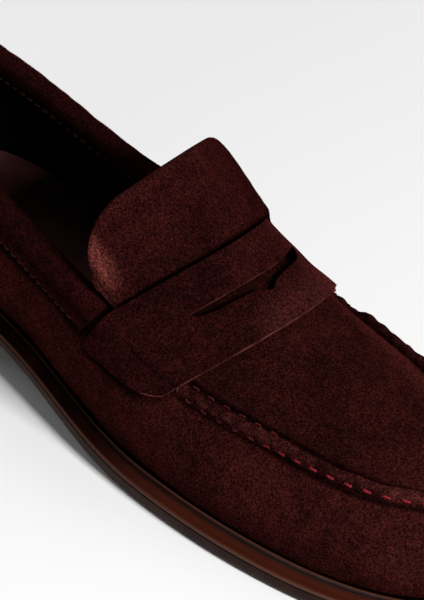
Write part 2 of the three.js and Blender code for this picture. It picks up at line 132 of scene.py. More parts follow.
def hermite(p0, m0, p1, m1, t):
    """A curve from p0 to p1 that leaves along m0 and arrives along m1."""
    return (p0 * (2 * t**3 - 3 * t**2 + 1) + m0 * (t**3 - 2 * t**2 + t)
            + p1 * (3 * t**2 - 2 * t**3) + m1 * (t**3 - t**2))


def unit(v):
    return v / np.maximum(np.linalg.norm(v, axis=-1, keepdims=True), 1e-9)


def closed_curve(points):
    """A smooth closed curve through the points, as a function of the share of the way round."""
    p = np.array(points, float)
    n = len(p)
    neighbours = np.roll(np.eye(n), 1, 0) + np.roll(np.eye(n), -1, 0)
    slope = np.linalg.solve(4 * np.eye(n) + neighbours, 3 * (np.roll(p, -1, 0) - np.roll(p, 1, 0)))

    def at(s):
        u = np.mod(s, 1) * n
        i = np.floor(u).astype(int) % n
        j = (i + 1) % n
        f = (u - np.floor(u))[..., None]
        return hermite(p[i], slope[i], p[j], slope[j], f)

    return at


edge_curve = closed_curve([(x, y, 0) for x, y, _, _, _ in STATIONS])
rim_curve = closed_curve([(x, y, z) for _, _, x, y, z in STATIONS])


def rim(s):
    return rim_curve(np.asarray(s, float))


def crest(x):
    """Height of the middle of the instep."""
    px, pz = np.array(CREST, float).T
    slope = np.gradient(pz, px)
    i = np.clip(np.searchsorted(px, x, side="right") - 1, 0, len(px) - 2)
    w = px[i + 1] - px[i]
    t = (x - px[i]) / w
    return hermite(pz[i], slope[i] * w, pz[i + 1], slope[i + 1] * w, t)


def heel_share(x):
    return smooth((TREAD_BACK - x) / (TREAD_BACK - SHANK_TOP))


def underside(x):
    toe = np.maximum(0, (x - TREAD_FRONT) / (TOE_END - TREAD_FRONT))
    return HEEL_LIFT * heel_share(x) + TOE_SPRING * toe**2


def sole_thick(x):
    return SOLE_THICK - WAIST_THIN * heel_share(x)


def sole_point(s, inset, level):
    """On the sole: in from its edge by inset, and up by level of its thickness."""
    s = np.asarray(s, float)
    p = edge_curve(s)
    along = unit(edge_curve(s + 0.002) - edge_curve(s - 0.002))
    x = p[..., 0] - along[..., 1] * inset
    y = p[..., 1] + along[..., 0] * inset
    return np.stack([x, y, underside(x) + sole_thick(x) * level], -1)


def wall(s, t):
    """The side of the upper, from the feather edge (t 0) to the rim (t 1)."""
    s, t = np.broadcast_arrays(np.asarray(s, float), np.asarray(t, float))
    foot = sole_point(s, FEATHER_INSET, FEATHER_LEVEL)
    top = rim(s)
    out = edge_curve(s) - foot
    out[..., 2] = 0
    out = unit(out)
    reach = np.linalg.norm(top - foot, axis=-1, keepdims=True) * 1.1
    flare = math.radians(14)
    toward_toe = smooth((top[..., :1] - 95) / 110)
    lean = np.radians(mix(10, 62, toward_toe))
    up = np.array([0.0, 0.0, 1.0])
    start = (out * math.sin(flare) + up * math.cos(flare)) * reach
    end = (-out * np.sin(lean) + up * np.cos(lean)) * reach
    return hermite(foot, start, top, end, t[..., None])


def section_meets(x, side, t=1.0):
    """Where, round the shoe, the wall at height t meets the leaning section through crest x."""
    x, side, t = np.broadcast_arrays(*(np.asarray(v, float) for v in (x, side, t)))
    tilt = SECTION_TILT * (1 - smooth((x - 175) / 70))
    back = np.where(side < 0, 0.12, 0.88)
    front = np.full(x.shape, 0.5)
    for _ in range(30):
        middle = (back + front) / 2
        p = wall(middle, t)
        ahead = p[..., 0] - tilt * (p[..., 2] - crest(x)) > x
        front = np.where(ahead, middle, front)
        back = np.where(ahead, back, middle)
    return (back + front) / 2


def arch(x, v):
    """The top of the foot, from the outer rim (v -1) over the crest (0) to the inner rim (1)."""
    x, v = np.broadcast_arrays(np.asarray(x, float), np.asarray(v, float))
    side = rim(section_meets(x, np.where(v < 0, -1, 1)))
    rise = 1 - np.abs(v) ** ARCH_POWER
    return np.stack([
        mix(side[..., 0], x, rise),
        mix(CREST_Y, side[..., 1], np.abs(v)),
        mix(side[..., 2], crest(x), rise),
    ], -1)


def normals(grid):
    """Outward normals of a grid whose rows run down or forward and whose columns run across."""
    return unit(np.cross(np.gradient(grid, axis=0), np.gradient(grid, axis=1)))


def raised(grid, height):
    return grid + normals(grid) * np.broadcast_to(height, grid.shape[:2])[..., None]


def hills(points, size, seed):
    """Smooth random hills about size millimetres across, roughly between -1 and 1."""
    rng = np.random.default_rng(seed)
    total = np.zeros(points.shape[:-1])
    for _ in range(14):
        wave = unit(rng.normal(size=3)) * 2 * math.pi / (size * rng.uniform(0.8, 1.9))
        total += np.sin(points @ wave + rng.uniform(0, 2 * math.pi))
    return total / 4.5


RIM_TABLE = np.linspace(0, 1, 2001)
RIM_LENGTH = np.concatenate([[0], np.cumsum(np.linalg.norm(np.diff(rim(RIM_TABLE), axis=0), axis=1))])


def rim_length(s):
    """Millimetres along the rim from the back of the heel."""
    return np.interp(s, RIM_TABLE, RIM_LENGTH)


def rim_place(length):
    return np.interp(length, RIM_LENGTH, RIM_TABLE)


# ---- Meshes ----
def make_object(name, points, faces, materials, painted_light_and_wear=None):
    """A mesh in the row frame. Its suede takes painted highlight and wear where painted_light_and_wear is 1,
    and painted shade where it is -1.
    """
    mesh = bpy.data.meshes.new(name)
    row = (np.asarray(points, float).reshape(-1, 3) - [HEEL_CENTRE, 0, 0]) * 0.001
    mesh.from_pydata(row.tolist(), [], faces)
    if painted_light_and_wear is not None:
        layer = mesh.attributes.new("painted_light_and_wear", "FLOAT", "POINT")
        layer.data.foreach_set("value", np.asarray(painted_light_and_wear, float).ravel())
    for material in materials:
        mesh.materials.append(material)
    mesh.shade_smooth()
    obj = bpy.data.objects.new(name, mesh)
    bpy.context.collection.objects.link(obj)
    return obj


def grid_faces(rows, columns, wrap_rows=False, wrap_columns=False):
    faces = []
    for i in range(rows if wrap_rows else rows - 1):
        for j in range(columns if wrap_columns else columns - 1):
            k, m = (i + 1) % rows, (j + 1) % columns
            faces.append((i * columns + j, k * columns + j, k * columns + m, i * columns + m))
    return faces


def settle(obj, angle=40):
    """Makes the modifiers' result the mesh itself, with its sharp edges kept sharp."""
    depsgraph = bpy.context.evaluated_depsgraph_get()
    mesh = bpy.data.meshes.new_from_object(obj.evaluated_get(depsgraph))
    obj.modifiers.clear()
    obj.data = mesh
    mesh.shade_smooth()
    mesh.set_sharp_from_angle(angle=math.radians(angle))
    return obj


def thicken(obj, thickness, bevel=0.25):
    """Gives a sheet its thickness inwards. Its cut edges take the second material."""
    solid = obj.modifiers.new("thickness", "SOLIDIFY")
    solid.thickness = thickness * 0.001
    solid.offset = -1
    solid.use_even_offset = False
    solid.material_offset_rim = 1
    round_off = obj.modifiers.new("rounding", "BEVEL")
    round_off.width = bevel * 0.001
    round_off.segments = 2
    round_off.limit_method = "ANGLE"
    round_off.angle_limit = math.radians(50)
    return settle(obj)


def sheet(name, grid, thickness, materials, painted_light_and_wear=None):
    faces = grid_faces(*grid.shape[:2])
    return thicken(make_object(name, grid, faces, materials, painted_light_and_wear), thickness)


def rod(name, grid, materials, closed=False, painted_light_and_wear=None):
    """A solid whose rows are its cross-sections."""
    rows, columns = grid.shape[:2]
    faces = grid_faces(rows, columns, wrap_rows=closed, wrap_columns=True)
    if not closed:
        faces.append(tuple(range(columns)))
        faces.append(tuple(reversed(range((rows - 1) * columns, rows * columns))))
    obj = make_object(name, grid, faces, materials, painted_light_and_wear)
    turn_outward(obj)
    return settle(obj)


def turn_outward(obj):
    bm = bmesh.new()
    bm.from_mesh(obj.data)
    bmesh.ops.recalc_face_normals(bm, faces=bm.faces)
    bm.to_mesh(obj.data)
    bm.free()


def weld(obj):
    """Joins the points that lie on one another."""
    bm = bmesh.new()
    bm.from_mesh(obj.data)
    bmesh.ops.remove_doubles(bm, verts=bm.verts, dist=2e-6)
    bm.to_mesh(obj.data)
    bm.free()


def slab(name, rings, materials):
    """A slab from its rings, bottom to top, its faces filled by strips from side to side."""
    n = rings.shape[1]
    faces = grid_faces(len(rings), n, wrap_columns=True)
    for start in (0, (len(rings) - 1) * n):
        faces += [(start + i, start + i + 1, start + n - 2 - i, start + n - 1 - i) for i in range(n // 2 - 1)]
    obj = make_object(name, rings, faces, materials)
    turn_outward(obj)
    return settle(obj, 35)


def stitches(name, starts, ends, lift, radius, material, plies=2, turns=1.2):
    """Twisted stitches: each arches by lift from its start to its end, whose points sink in."""
    points, faces = [], []
    steps, sides = 14, 7
    for a, b, up in zip(starts, ends, lift):
        t = np.linspace(0, 1, steps)[:, None]
        centre = mix(a, b, t) + up * np.sin(np.pi * t) ** 0.7
        along = unit(np.gradient(centre, axis=0))
        across = unit(np.cross(along, up))
        above = np.cross(across, along)
        for ply in range(plies):
            turn = 2 * math.pi * (turns * t + ply / plies)
            offset = radius * 0.62 if plies > 1 else 0
            core = centre + offset * (np.cos(turn) * across + np.sin(turn) * above)
            size = radius * (0.72 if plies > 1 else 1) * np.clip(np.sin(np.pi * t) * 4, 0.35, 1)
            angle = np.linspace(0, 2 * math.pi, sides, endpoint=False)
            ring = [core + size * (math.cos(g) * across + math.sin(g) * above) for g in angle]
            base = sum(len(p) for p in points)
            points.append(np.stack(ring, 1).reshape(-1, 3))
            faces += [tuple(base + k for k in f) for f in grid_faces(steps, sides, wrap_columns=True)]
            faces.append(tuple(base + k for k in range(sides)))
            faces.append(tuple(base + (steps - 1) * sides + k for k in reversed(range(sides))))
    obj = make_object(name, np.concatenate(points), faces, [material])
    turn_outward(obj)
    return obj


# ---- Materials ----
class Nodes:
    """A short hand for building a node tree."""

    def __init__(self, name):
        self.material = bpy.data.materials.new(name)
        self.material.use_nodes = True
        self.tree = self.material.node_tree
        self.shader = self.tree.nodes["Principled BSDF"]
        self.place = self.add("ShaderNodeTexCoord").outputs["Object"]

    def add(self, kind, **settings):
        node = self.tree.nodes.new(kind)
        for key, value in settings.items():
            setattr(node, key, value)
        return node

    def put(self, socket, value):
        if isinstance(value, bpy.types.NodeSocket):
            self.tree.links.new(value, socket)
        else:
            socket.default_value = value

    def noise(self, size, detail=2.0, rough=0.5, place=None):
        """Noise whose features are about size millimetres across."""
        node = self.add("ShaderNodeTexNoise")
        self.put(node.inputs["Vector"], place or self.place)
        node.inputs["Scale"].default_value = 1000 / size
        node.inputs["Detail"].default_value = detail
        node.inputs["Roughness"].default_value = rough
        return node.outputs["Fac"]

    def cells(self, size):
        """A pebbled pattern: the distance to the nearest of points about size millimetres apart."""
        node = self.add("ShaderNodeTexVoronoi")
        self.put(node.inputs["Vector"], self.place)
        node.inputs["Scale"].default_value = 1000 / size
        return node.outputs["Distance"]

    def span(self, value, low, high, to_low=0.0, to_high=1.0):
        """Takes low and high smoothly to to_low and to_high, and stops there."""
        node = self.add("ShaderNodeMapRange", interpolation_type="SMOOTHSTEP")
        self.put(node.inputs["Value"], value)
        for key, number in zip(("From Min", "From Max", "To Min", "To Max"), (low, high, to_low, to_high)):
            node.inputs[key].default_value = number
        return node.outputs["Result"]

    def math(self, operation, a, b=0.0):
        node = self.add("ShaderNodeMath", operation=operation)
        self.put(node.inputs[0], a)
        self.put(node.inputs[1], b)
        return node.outputs[0]

    def blend(self, factor, a, b):
        node = self.add("ShaderNodeMix", data_type="RGBA")
        self.put(node.inputs["Factor"], factor)
        self.put(node.inputs[6], a)
        self.put(node.inputs[7], b)
        return node.outputs[2]

    def scale(self, colour, amount):
        node = self.add("ShaderNodeVectorMath", operation="SCALE")
        self.put(node.inputs[0], colour)
        self.put(node.inputs["Scale"], amount)
        return node.outputs[0]

    def painted_light_and_wear(self):
        """How much painted highlight and wear, and how much painted shade, the surface has, each from 0 to 1.
        """
        value = self.add("ShaderNodeAttribute", attribute_name="painted_light_and_wear").outputs["Fac"]
        painted_shade = self.math("MAXIMUM", self.math("MULTIPLY", value, -1.0), 0.0)
        return self.math("MAXIMUM", value, 0.0), painted_shade

    def bump(self, height, distance, below=None):
        """Bump by height, distance millimetres deep."""
        node = self.add("ShaderNodeBump")
        node.inputs["Distance"].default_value = distance * 0.001
        self.put(node.inputs["Height"], height)
        if below is not None:
            self.put(node.inputs["Normal"], below)
        return node.outputs["Normal"]

    def finish(self, **inputs):
        for key, value in inputs.items():
            self.put(self.shader.inputs[key.replace("_", " ")], value)
        return self.material


def rgb(red, green, blue):
    """A colour from its 0 to 255 screen values."""
    channel = [c / 255 for c in (red, green, blue)]
    return [c / 12.92 if c <= 0.04045 else ((c + 0.055) / 1.055) ** 2.4 for c in channel] + [1.0]


def suede(name, dark=(27, 8, 7), light=(42, 14, 12), light_and_wear_tone=(118, 58, 52)):
    """Napped leather: soft patches where the nap lies differently, under a fine speckle of fibres."""
    n = Nodes(name)
    drift = n.noise(26, 3, 0.5)
    patch = n.noise(5, 3, 0.6)
    nap = n.noise(1.0, 2, 0.75)
    fibre = n.noise(0.6, 2, 0.75)
    tone = n.math("ADD", n.span(drift, 0.3, 0.7, 0.2, 0.8), n.span(patch, 0.3, 0.7, -0.3, 0.3))
    colour = n.blend(tone, rgb(*dark), rgb(*light))
    # Painted highlight and wear lighten the colour towards the pale tone; painted shade darkens it to near
    # black and takes the sheen away.
    highlight_and_wear, painted_shade = n.painted_light_and_wear()
    colour = n.blend(highlight_and_wear, colour, rgb(*light_and_wear_tone))
    grain = n.math("MULTIPLY", n.span(nap, 0.36, 0.64, 0.65, 1.35), n.span(fibre, 0.36, 0.64, 0.35, 1.65))
    colour = n.blend(painted_shade, n.scale(colour, grain), rgb(3, 1, 1))
    relief = n.bump(fibre, 0.25, n.bump(nap, 0.3, n.bump(patch, 0.4)))
    velvet = n.math("MULTIPLY", n.math("SUBTRACT", 1.0, painted_shade), n.math("MULTIPLY", grain, 0.025))
    return n.finish(Base_Color=colour, Roughness=1.0, Specular_IOR_Level=0.0, Normal=relief,
                    Sheen_Weight=velvet, Sheen_Roughness=0.35, Sheen_Tint=rgb(230, 80, 70))


def cut_edge(name, dark, light):
    """The raw edge of the suede: short fibres, lighter in some stretches than in others."""
    n = Nodes(name)
    fibre = n.noise(0.5, 3, 0.7)
    stretch = n.noise(7, 2)
    level = n.math("ADD", n.span(fibre, 0.3, 0.7, 0.0, 0.6), n.span(stretch, 0.35, 0.65, -0.2, 0.4))
    colour = n.blend(level, rgb(*dark), rgb(*light))
    return n.finish(Base_Color=colour, Roughness=0.9, Specular_IOR_Level=0.0, Normal=n.bump(fibre, 0.3))


def calf(name, dark, light, roughness=0.55):
    """Smooth lining leather with a fine pebbled grain."""
    n = Nodes(name)
    pebble = n.cells(0.9)
    drift = n.noise(18, 3)
    colour = n.blend(n.span(drift, 0.3, 0.7), rgb(*dark), rgb(*light))
    relief = n.bump(pebble, 0.08, n.bump(drift, 0.4))
    return n.finish(Base_Color=colour, Roughness=n.span(pebble, 0, 0.6, roughness - 0.08, roughness + 0.1),
                    Specular_IOR_Level=0.05, Normal=relief)


def burnished(name, dark, light, light_and_wear_tone, roughness=0.36):
    """Polished edge leather: darker behind the forepart, with faint lines along the edge."""
    n = Nodes(name)
    stretch = n.add("ShaderNodeMapping")
    n.put(stretch.inputs["Vector"], n.place)
    stretch.inputs["Scale"].default_value = (0.12, 0.12, 1)
    lines = n.noise(0.8, 3, 0.6, stretch.outputs["Vector"])
    drift = n.noise(24, 2)
    split = n.add("ShaderNodeSeparateXYZ")
    n.put(split.inputs["Vector"], n.place)
    forward = n.span(split.outputs["X"], 0.085, 0.15, 0.0, 0.8)
    level = n.math("ADD", forward, n.span(drift, 0.3, 0.7, -0.1, 0.15))
    # Painted highlight lines, with some wear, lighten the colour towards the pale tone; painted shade in the
    # grooves and under the upper darkens it to near black.
    highlight_and_wear, painted_shade = n.painted_light_and_wear()
    colour = n.blend(highlight_and_wear, n.blend(level, rgb(*dark), rgb(*light)), rgb(*light_and_wear_tone))
    colour = n.blend(painted_shade, colour, rgb(5, 1, 1))
    return n.finish(Base_Color=colour, Roughness=n.span(lines, 0.2, 0.8, roughness - 0.06, roughness + 0.12),
                    Specular_IOR_Level=n.span(forward, 0, 0.8, 0.02, 0.14), Normal=n.bump(lines, 0.02))


def rubber(name, dark, light, roughness=0.5):
    """The sanded edge and tread of the sole."""
    n = Nodes(name)
    grain = n.noise(0.6, 3, 0.6)
    drift = n.noise(15, 3)
    colour = n.blend(n.span(drift, 0.3, 0.7), rgb(*dark), rgb(*light))
    return n.finish(Base_Color=colour, Roughness=n.span(grain, 0.3, 0.7, roughness - 0.06, roughness + 0.08),
                    Specular_IOR_Level=0.06, Normal=n.bump(grain, 0.05))


def thread(name, dark, light, gloss):
    """Fine thread dyed to match the suede."""
    n = Nodes(name)
    fibre = n.noise(0.25, 3, 0.7)
    colour = n.blend(n.span(fibre, 0.3, 0.7), rgb(*dark), rgb(*light))
    return n.finish(Base_Color=colour, Roughness=0.45, Specular_IOR_Level=gloss, Normal=n.bump(fibre, 0.08))


def bold_thread(name, dark, dull, bright):
    """Thick waxed thread with painted light: dull by the strap and bright towards the toe, where the key lamp
    lights it.
    """
    n = Nodes(name)
    split = n.add("ShaderNodeSeparateXYZ")
    n.put(split.inputs["Vector"], n.place)
    fibre = n.noise(0.3, 3, 0.7)
    # Painted light: the thread brightens towards the toe.
    lit = n.blend(n.span(split.outputs["X"], 0.15, 0.205), rgb(*dull), rgb(*bright))
    colour = n.blend(n.span(fibre, 0.35, 0.65), rgb(*dark), lit)
    return n.finish(Base_Color=colour, Roughness=0.5, Specular_IOR_Level=0.1, Normal=n.bump(fibre, 0.08))


def inner(name, dark, light, size, roughness=0.9, metallic=0.0):
    """A plain grained material for the layers hidden inside the shoe."""
    n = Nodes(name)
    grain = n.noise(size, 4, 0.7)
    colour = n.blend(n.span(grain, 0.35, 0.65), rgb(*dark), rgb(*light))
    return n.finish(Base_Color=colour, Roughness=roughness, Metallic=metallic, Normal=n.bump(grain, 0.2))


SUEDE = suede("suede")
# A lighter copy of the suede for the side wall: painted light, so that the wall, which the lamps light less
# than the apron, looks as bright.
LIT_WALL_SUEDE = suede("lit_wall_suede", (31, 10, 9), (49, 17, 15))
DEEP_SUEDE = suede("deep_suede", (24, 6, 6), (39, 12, 11))
RIDGE_SUEDE = suede("ridge_suede", (28, 8, 8), (58, 25, 22))
CUT_EDGE = cut_edge("cut_edge", (44, 17, 15), (100, 56, 50))
# A darkened copy of the cut edge: painted shade for the cut edges that face away from the key lamp.
SHADED_CUT_EDGE = cut_edge("shaded_cut_edge", (7, 2, 2), (22, 6, 6))
# A dark calf painted near black: partly its own colour, partly painted shade for the inside of the shoe.
LINING = calf("lining_calf", (5, 3, 3), (9, 5, 5))
SOCK = calf("sock_calf", (54, 28, 27), (74, 42, 40), 0.6)
WELT = burnished("burnished_welt", (13, 3, 3), (60, 21, 9), (72, 44, 33))
EDGE_RUBBER = rubber("sole_rubber", (32, 17, 13), (48, 29, 23))
RED_THREAD = bold_thread("red_thread", (26, 2, 5), (62, 6, 13), (160, 36, 46))
DARK_THREAD = thread("dark_thread", (14, 3, 4), (48, 14, 14), 0.1)
COLLAR_THREAD = thread("collar_thread", (20, 5, 5), (64, 20, 20), 0.05)


# ---- Sole unit ----
ROUND = 420
around = (np.arange(ROUND) + 0.5) / ROUND


def sole_rings(levels):
    """Rings round the sole, each with its inset, its share of the thickness and its lift above that."""
    return np.stack([sole_point(around, inset, level) + [0, 0, lift] for inset, level, lift in levels])


def outsole():
    """The lower part of the sole's edge, rounded at the ground and under the welt."""
    rings = sole_rings([
        (3.0, 0, 0), (1.6, 0, 0.15), (0.7, 0, 0.8), (0.35, 0, 1.8), (0.15, 0, 3.0),
        (0.05, 0.36, 0), (0.1, 0.415, 0), (0.5, 0.43, 0), (2.0, 0.432, 0),
    ])
    return slab("sole_edge_and_tread", rings, [EDGE_RUBBER])


def welt():
    """A rounded shoulder between two painted highlight lines, one at its rim and one on the lip by the upper,
    with painted shade in its grooves and in the gap under the upper.

    Each row is its inset, its share of the sole's thickness and its painted light and wear.
    """
    shoulder = [
        (2.0, 0.440, -0.9), (0.75, 0.442, -0.9), (0.25, 0.452, -0.6), (0.0, 0.48, 0.2), (0.0, 0.515, 0.9),
        (0.25, 0.545, 0.9), (0.8, 0.575, -0.1), (1.6, 0.615, -0.2), (2.4, 0.665, 0.0), (3.1, 0.725, -0.4),
        (3.6, 0.775, -0.9), (3.9, 0.80, -0.9), (4.05, 0.83, -0.3), (4.2, 0.85, 0.6), (4.45, 0.857, 0.5),
        (4.7, 0.85, -0.6), (4.9, 0.82, -1), (5.1, 0.80, -1), (8.0, 0.80, -1), (11.0, 0.80, -1),
        (11.0, 0.455, -1),
    ]
    grid = np.stack([sole_point(around, inset, level) for inset, level, _ in shoulder], 1)
    painted_light_and_wear = [painted_light_and_wear for _, _, painted_light_and_wear in shoulder]
    return rod("sole_welt", grid, [WELT], closed=True, painted_light_and_wear=np.tile(painted_light_and_wear, ROUND))


def heel_ring(inset, height):
    """The heel's outline at a height; with no height, just under the sole."""
    s = np.linspace(0, HEEL_SIDE, 400)
    outer = sole_point(s, inset, 0)
    inner_side = sole_point(1 - s, inset, 0)
    stop = HEEL_BREAST - inset
    outer_end = np.interp(stop, outer[:, 0], s)
    inner_end = np.interp(stop, inner_side[:, 0], s)
    count = 70
    places = np.concatenate([
        np.linspace(outer_end, 0.002, count)[::-1], 1 - np.linspace(0.002, inner_end, count)[::-1]])
    ring = sole_point(places, inset, 0)
    ring[:, 2] = height if height is not None else underside(ring[:, 0]) - 0.3
    return ring


def heel():
    """The stack under the sole and the tread piece under the stack."""
    block = [(2.2, 6.2), (1.5, 6.4), (1.2, 7.0), (1.0, None)]
    tread = [(2.6, 0), (1.9, 0.2), (1.5, 0.8), (1.4, 5.4), (1.7, 5.9), (2.4, 6.0)]
    return [
        slab(name, np.stack([heel_ring(inset, height) for inset, height in rings]), [EDGE_RUBBER])
        for name, rings in (("heel_stack", block), ("heel_tread_piece", tread))
    ]


# ---- Upper ----
def seam_share(s):
    """1 along the apron seam, falling to 0 behind the strap."""
    return smooth((s - 0.285) / 0.02) * smooth((0.715 - s) / 0.02)


def collar_share(s):
    """1 beside the collar, falling to 0 at the strap."""
    return smooth((0.245 - np.minimum(s, 1 - s)) / 0.01)


def distance(grid, line):
    """Distance of each point of a grid from the nearest point of a line."""
    flat = grid.reshape(-1, 3)
    nearest = np.min([np.linalg.norm(flat - p, axis=1) for p in line], axis=0)
    return nearest.reshape(grid.shape[:-1])


def tab_outline(side):
    """The line just behind and below the edges of a strap tab, where the wall takes painted shade."""
    down = np.linspace(1.05, 2, 30)
    forward = np.linspace(0, 1, 60)
    behind = np.concatenate([strap_surface(u, side * down) for u in (-0.03, -0.1)])
    below = strap_surface(forward, side * 2.0) + [-1.6, 0, -2.3]
    return np.concatenate([behind, below])


def band(gap, width):
    """1 where the gap is 0, fading out over about the width on either side."""
    return np.exp(-(gap / width) ** 2)


def side_wall():
    """Uneven and puckered at the seam, with painted shade below the seam, the collar and the tabs, and at the
    sole.
    """
    s = np.linspace(0, 1, 700)
    t = np.concatenate([np.linspace(1, 0.03, 54), [0.0]])
    grid = wall(s[None, :], t[:, None])
    down = np.linalg.norm(grid - grid[:1], axis=-1)
    pucker = np.cos(2 * math.pi * rim_length(s) / STITCH_PITCH)[None, :]
    height = 0.3 * hills(grid, 30, 1) + 0.1 * hills(grid, 9, 2)
    height += seam_share(s) * np.exp(-down / 3.2) * (0.3 * pucker - 0.5)
    below_collar = np.maximum(0.69 - t[:, None], 0) * down[-1]
    above_sole = t[:, None] * down[-1]
    # Painted shade in bands below the seam, the collar and the strap tabs, and fainter above the sole; the
    # turned-in foot has none.
    wall_shades = [
        0.85 * seam_share(s) * band(down - 3.2, 1.1),
        0.9 * collar_share(s) * band(below_collar, 2.4),
        0.35 * band(above_sole, 7),
        0.95 * band(distance(grid, tab_outline(-1)), 1.9),
        0.95 * band(distance(grid, tab_outline(1)), 1.9),
    ]
    wall_shade = np.max(wall_shades, axis=0)
    grid = raised(grid, height)
    out = unit((grid[-1] - sole_point(s, FEATHER_INSET + 1, FEATHER_LEVEL)) * [1, 1, 0])
    turned_in = [(0.5, 0.25), (1.4, 0.5), (3.0, 0.6)]
    tuck = [grid[-1] - out * inward - [0, 0, fall] for inward, fall in turned_in]
    painted_light_and_wear = -np.concatenate([wall_shade, np.zeros((len(tuck), len(s)))])
    return sheet("upper_side_wall", np.concatenate([grid, tuck]), UPPER_THICK, [LIT_WALL_SUEDE, LIT_WALL_SUEDE], painted_light_and_wear)


def apron():
    """Puckered and dipped along its seam, and sunk where it runs under the strap, with painted shade beside
    the seam and under the strap.
    """
    x = APRON_TOE - (APRON_TOE - STRAP_BACK - 2) * (1 - np.linspace(0, 1, 110)) ** 1.8
    v = np.sin(np.linspace(-1, 1, 96) * math.pi / 2)
    grid = arch(x[:, None], v[None, :])
    side = section_meets(x[:, None], np.where(v < 0, -1, 1)[None, :])
    inward = np.linalg.norm(grid - rim(side), axis=-1)
    pucker = np.cos(2 * math.pi * rim_length(side) / STITCH_PITCH + math.pi)
    height = 0.25 * hills(grid, 26, 3) + 0.08 * hills(grid, 8, 4)
    height += np.exp(-inward / 3.0) * (0.3 * pucker - 0.5)
    height -= 1.2 * smooth((STRAP_FRONT - 3 - x[:, None]) / 6)
    # Painted shade in a line beside the seam and under the strap, and on the outer side behind the toe; a
    # slightly lighter band on the inner side near the seam.
    deep = 0.8 * band(inward - np.where(v > 0, 2.6, 3.6), 1.0)
    painted_light_and_wear = -deep - 0.5 * smooth((STRAP_FRONT - 3 - x[:, None]) / 3)
    painted_light_and_wear = np.where(v > 0, painted_light_and_wear + 0.09 * band(inward - 9, 6), painted_light_and_wear)
    painted_light_and_wear -= 0.15 * smooth((-v - 0.1) / 0.5) * smooth((225 - x[:, None]) / 30)
    return sheet("upper_apron", raised(grid, height), UPPER_THICK, [SUEDE, SUEDE], painted_light_and_wear)


def wall_frame(s, t=1.0):
    """On the wall: the point, its outward normal, the way up and the way along."""
    p = wall(s, t)
    up = unit(wall(s, t) - wall(s, np.asarray(t) - 0.02))
    along = unit(wall(s + 0.003, t) - wall(s - 0.003, t))
    return p, unit(np.cross(along, up)), up, along


def ridge_frame(s):
    """On the seam: its point, the way up out of it, and the way across towards the apron."""
    p, out, up, along = wall_frame(s)
    lean = smooth((np.abs(s - 0.5) - 0.1) / 0.09)[..., None] * 0.55
    rise = unit(out * (1 + lean) + up * (0.55 - lean))
    return p, rise, unit(np.cross(rise, along))


def seam_ridge():
    """The stood-up edges of wall and apron: pinched at each stitch, ragged on top."""
    s = np.linspace(SEAM_START, SEAM_END, 900)
    p, rise, across = ridge_frame(s)
    length = rim_length(s)
    profile = [
        (-2.3, -0.6), (-2.15, 0.5), (-2.0, 1.5), (-1.6, 2.25), (-0.9, 2.55), (-0.2, 2.4), (0.2, 2.4),
        (0.9, 2.6), (1.6, 2.3), (2.0, 1.5), (2.15, 0.5), (2.3, -0.6),
    ]
    pinch = np.cos(2 * math.pi * length / STITCH_PITCH)
    ragged = hills(p, 5, 6)
    grid, painted_light_and_wear = [], []
    inner_side = smooth((s - 0.55) / 0.05)
    tucked = 1.8 * smooth((STRAP_FRONT + 1 - p[:, 0]) / 3)
    for aside, tall in profile:
        # Painted shade towards the ridge's foot, and over its top and apron side on the inner half of the
        # shoe.
        painted_light_and_wear.append(-0.35 * np.clip(1 - tall / 2.2, 0, 1) - 0.5 * inner_side * (aside > -1))
        width = 0.95 - 0.09 * pinch + 0.11 * hills(p + [aside * 9, 0, 0], 4.5, 7)
        swell = 1 + 0.10 * pinch + 0.10 * hills(p + [0, aside * 9, 0], 6, 8)
        reach = aside * width + 0.22 * ragged
        grid.append(p + across * reach[:, None] + rise * (tall * swell - tucked)[:, None])
    return rod("apron_seam_ridge", np.stack(grid, 1), [RIDGE_SUEDE], painted_light_and_wear=np.stack(painted_light_and_wear, 1))


def seam_stitches(side):
    """Red stitches, one pitch apart; side -1 lies on the wall and 1 on the apron."""
    begin = np.arange(rim_length(SEAM_START) + 4, rim_length(SEAM_END) - 6, STITCH_PITCH)
    ends = []
    for share, sink in ((0.0, 0.0), (0.42, 0.3)):
        s = rim_place(begin + share * STITCH_PITCH)
        p, rise, across = ridge_frame(s)
        waist = smooth((np.abs(s - 0.5) - 0.12) / 0.05)
        on_inner_half = smooth((s - 0.5) / 0.1)
        if side > 0:
            height = 0.2 + waist * (1 - on_inner_half) - 0.9 * on_inner_half
        else:
            height = 0.9 - waist
        ends.append(p + across * side * 2.2 + rise * (height - sink)[:, None])
    _, rise, across = ridge_frame(rim_place(begin))
    name = f"seam_stitches_{'apron' if side > 0 else 'wall'}"
    return stitches(name, *ends, across * side * 0.45 + rise * 0.25, 0.36, RED_THREAD)


def collar_ends(t):
    """Where the collar stops, inner side and outer side, in line with the strap's rear edge."""
    return section_meets(COLLAR_END, 1, t) - 1, section_meets(COLLAR_END, -1, t)


